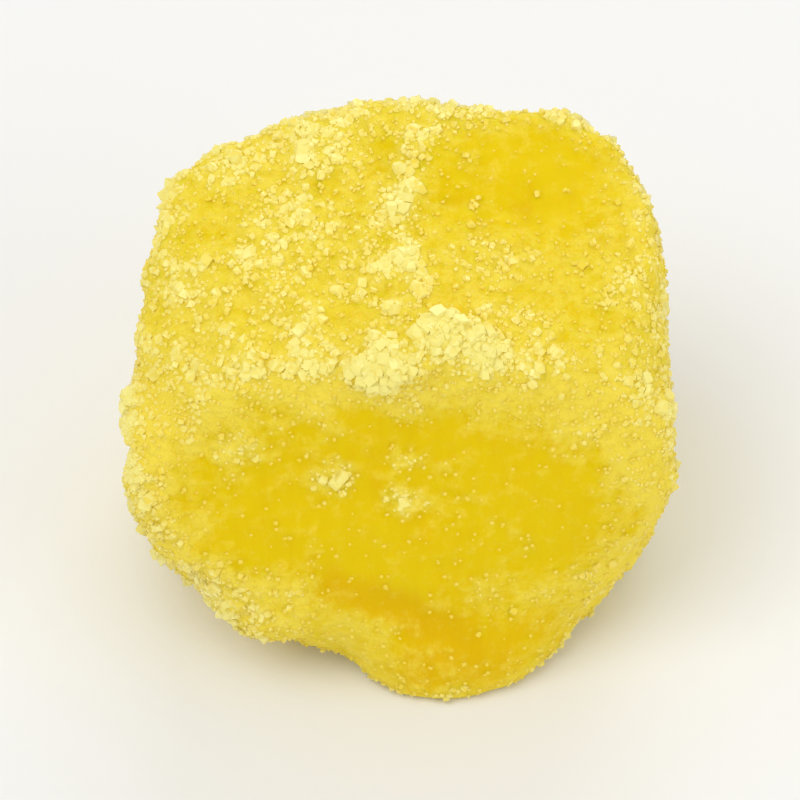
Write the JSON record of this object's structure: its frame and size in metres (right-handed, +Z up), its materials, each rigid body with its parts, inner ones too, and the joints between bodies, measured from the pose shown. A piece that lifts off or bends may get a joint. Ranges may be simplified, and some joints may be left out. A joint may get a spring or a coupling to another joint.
{
  "type": "dried pineapple chunk",
  "caption": "Rounded block of candied, dried pineapple with a smooth cut end, a crust of sugar and a flat face to rest on.",
  "frame": {"origin": "middle of the bounding box, on the flat foot that the chunk rests on", "axes": "+Z up out of the foot, -Y out of the smooth cut end, +X along the chunk's width"},
  "size_m": [0.022, 0.0196, 0.0172],
  "materials": {
    "candied_pineapple": "bright yellow candied fruit, satin where bare and frosted where sugar crusts it"
  },
  "bodies": {
    "root": {"pineapple_chunk": "candied_pineapple"}
  },
  "joints": []
}
